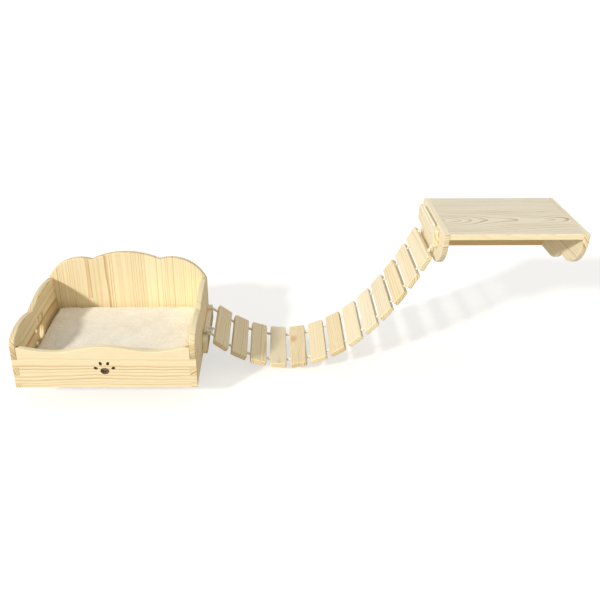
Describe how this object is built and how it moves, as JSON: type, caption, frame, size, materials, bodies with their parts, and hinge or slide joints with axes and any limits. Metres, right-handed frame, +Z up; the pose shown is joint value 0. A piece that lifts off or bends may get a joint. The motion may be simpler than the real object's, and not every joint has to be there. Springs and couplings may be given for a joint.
{
  "type": "wall-mounted cat bed, rope bridge and shelf set",
  "caption": "Wall-mounted pine set for cats: an open box bed with a plush mat, a hanging rope bridge of wooden slats, and a shelf on scalloped brackets, hung on keyhole plates.",
  "frame": {"origin": "on the rear face of the bed's back panel, midway between its two hangers; the wall is the plane Y = 0", "axes": "+Z up, +Y into the wall, +X along the wall from the bed to the shelf"},
  "size_m": [1.4, 0.375, 0.4],
  "materials": {
    "bed_pine": "sanded pale pine, matt clear coat",
    "floor_pine": "sanded pale pine",
    "shelf_pine": "sanded pale pine, matt clear coat",
    "slat_pine": "sanded pale pine with softened edges",
    "beech_dowel": "plain turned dowel",
    "cotton_rope": "twisted off-white cotton rope",
    "plush_mat": "short off-white plush",
    "zinc_steel": "bright zinc plate"
  },
  "bodies": {
    "root": {"bed_back_panel": "bed_pine", "bed_floor_board": "floor_pine", "bed_front_panel": "bed_pine", "bed_hanger_left": "zinc_steel", "bed_hanger_right": "zinc_steel", "bed_hanger_screw_left_lower": "zinc_steel", "bed_hanger_screw_left_upper": "zinc_steel", "bed_hanger_screw_right_lower": "zinc_steel", "bed_hanger_screw_right_upper": "zinc_steel", "bed_left_panel": "bed_pine", "bed_right_panel": "bed_pine", "bridge_anchor_bed": "slat_pine", "bridge_anchor_bed_screw_1": "zinc_steel", "bridge_anchor_bed_screw_2": "zinc_steel", "bridge_anchor_shelf": "slat_pine", "bridge_anchor_shelf_screw_1": "zinc_steel", "bridge_anchor_shelf_screw_2": "zinc_steel", "bridge_rope": "cotton_rope", "rope_knot": "cotton_rope", "shelf_back_board": "shelf_pine", "shelf_board": "shelf_pine", "shelf_dowel_left_1": "beech_dowel", "shelf_dowel_left_2": "beech_dowel", "shelf_dowel_left_3": "beech_dowel", "shelf_dowel_right_1": "beech_dowel", "shelf_dowel_right_2": "beech_dowel", "shelf_dowel_right_3": "beech_dowel", "shelf_hanger_left": "zinc_steel", "shelf_hanger_right": "zinc_steel", "shelf_hanger_screw_left_lower": "zinc_steel", "shelf_hanger_screw_left_upper": "zinc_steel", "shelf_hanger_screw_right_lower": "zinc_steel", "shelf_hanger_screw_right_upper": "zinc_steel", "shelf_left_bracket": "shelf_pine", "shelf_right_bracket": "shelf_pine"},
    "mat": {"bed_mat": "plush_mat"},
    "slat_06": {"bridge_slat_06": "slat_pine"},
    "slat_01": {"bridge_slat_01": "slat_pine"},
    "slat_02": {"bridge_slat_02": "slat_pine"},
    "slat_03": {"bridge_slat_03": "slat_pine"},
    "slat_04": {"bridge_slat_04": "slat_pine"},
    "slat_05": {"bridge_slat_05": "slat_pine"},
    "slat_07": {"bridge_slat_07": "slat_pine"},
    "slat_08": {"bridge_slat_08": "slat_pine"},
    "slat_09": {"bridge_slat_09": "slat_pine"},
    "slat_10": {"bridge_slat_10": "slat_pine"},
    "slat_11": {"bridge_slat_11": "slat_pine"},
    "slat_12": {"bridge_slat_12": "slat_pine"},
    "slat_13": {"bridge_slat_13": "slat_pine"}
  },
  "joints": [
    {"name": "mat_lift", "type": "slide", "parent": "root", "child": "mat", "axis": [0, 0, 1], "range_m": [0, 0.25]},
    {"name": "slat_06_sway", "type": "slide", "parent": "root", "child": "slat_06", "axis": [0, 1, 0], "range_m": [-0.045, 0.012], "stiffness_N_per_m": 3.8, "deforming": ["bridge_rope"]},
    {"name": "slat_01_sway", "type": "slide", "parent": "root", "child": "slat_01", "axis": [0, 1, 0], "range_m": [-0.0082, 0.0023], "stiffness_N_per_m": 21},
    {"name": "slat_02_sway", "type": "slide", "parent": "root", "child": "slat_02", "axis": [0, 1, 0], "range_m": [-0.0199, 0.0054], "stiffness_N_per_m": 8.6},
    {"name": "slat_03_sway", "type": "slide", "parent": "root", "child": "slat_03", "axis": [0, 1, 0], "range_m": [-0.0299, 0.0081], "stiffness_N_per_m": 5.7},
    {"name": "slat_04_sway", "type": "slide", "parent": "root", "child": "slat_04", "axis": [0, 1, 0], "range_m": [-0.0378, 0.0102], "stiffness_N_per_m": 4.5},
    {"name": "slat_05_sway", "type": "slide", "parent": "root", "child": "slat_05", "axis": [0, 1, 0], "range_m": [-0.0429, 0.0115], "stiffness_N_per_m": 4},
    {"name": "slat_07_sway", "type": "slide", "parent": "root", "child": "slat_07", "axis": [0, 1, 0], "range_m": [-0.0445, 0.0119], "stiffness_N_per_m": 3.8},
    {"name": "slat_08_sway", "type": "slide", "parent": "root", "child": "slat_08", "axis": [0, 1, 0], "range_m": [-0.0417, 0.0112], "stiffness_N_per_m": 4.1},
    {"name": "slat_09_sway", "type": "slide", "parent": "root", "child": "slat_09", "axis": [0, 1, 0], "range_m": [-0.037, 0.0099], "stiffness_N_per_m": 4.6},
    {"name": "slat_10_sway", "type": "slide", "parent": "root", "child": "slat_10", "axis": [0, 1, 0], "range_m": [-0.0309, 0.0083], "stiffness_N_per_m": 5.5},
    {"name": "slat_11_sway", "type": "slide", "parent": "root", "child": "slat_11", "axis": [0, 1, 0], "range_m": [-0.0238, 0.0064], "stiffness_N_per_m": 7.2},
    {"name": "slat_12_sway", "type": "slide", "parent": "root", "child": "slat_12", "axis": [0, 1, 0], "range_m": [-0.0159, 0.0043], "stiffness_N_per_m": 10.8},
    {"name": "slat_13_sway", "type": "slide", "parent": "root", "child": "slat_13", "axis": [0, 1, 0], "range_m": [-0.0073, 0.002], "stiffness_N_per_m": 23.8}
  ],
  "couplings": [
    {"joint": "slat_01_sway", "follows": "slat_06_sway", "ratio": 0.1802},
    {"joint": "slat_02_sway", "follows": "slat_06_sway", "ratio": 0.4392},
    {"joint": "slat_03_sway", "follows": "slat_06_sway", "ratio": 0.6633},
    {"joint": "slat_04_sway", "follows": "slat_06_sway", "ratio": 0.8381},
    {"joint": "slat_05_sway", "follows": "slat_06_sway", "ratio": 0.9517},
    {"joint": "slat_07_sway", "follows": "slat_06_sway", "ratio": 0.9874},
    {"joint": "slat_08_sway", "follows": "slat_06_sway", "ratio": 0.9239},
    {"joint": "slat_09_sway", "follows": "slat_06_sway", "ratio": 0.8201},
    {"joint": "slat_10_sway", "follows": "slat_06_sway", "ratio": 0.6854},
    {"joint": "slat_11_sway", "follows": "slat_06_sway", "ratio": 0.5271},
    {"joint": "slat_12_sway", "follows": "slat_06_sway", "ratio": 0.3503},
    {"joint": "slat_13_sway", "follows": "slat_06_sway", "ratio": 0.1593}
  ]
}
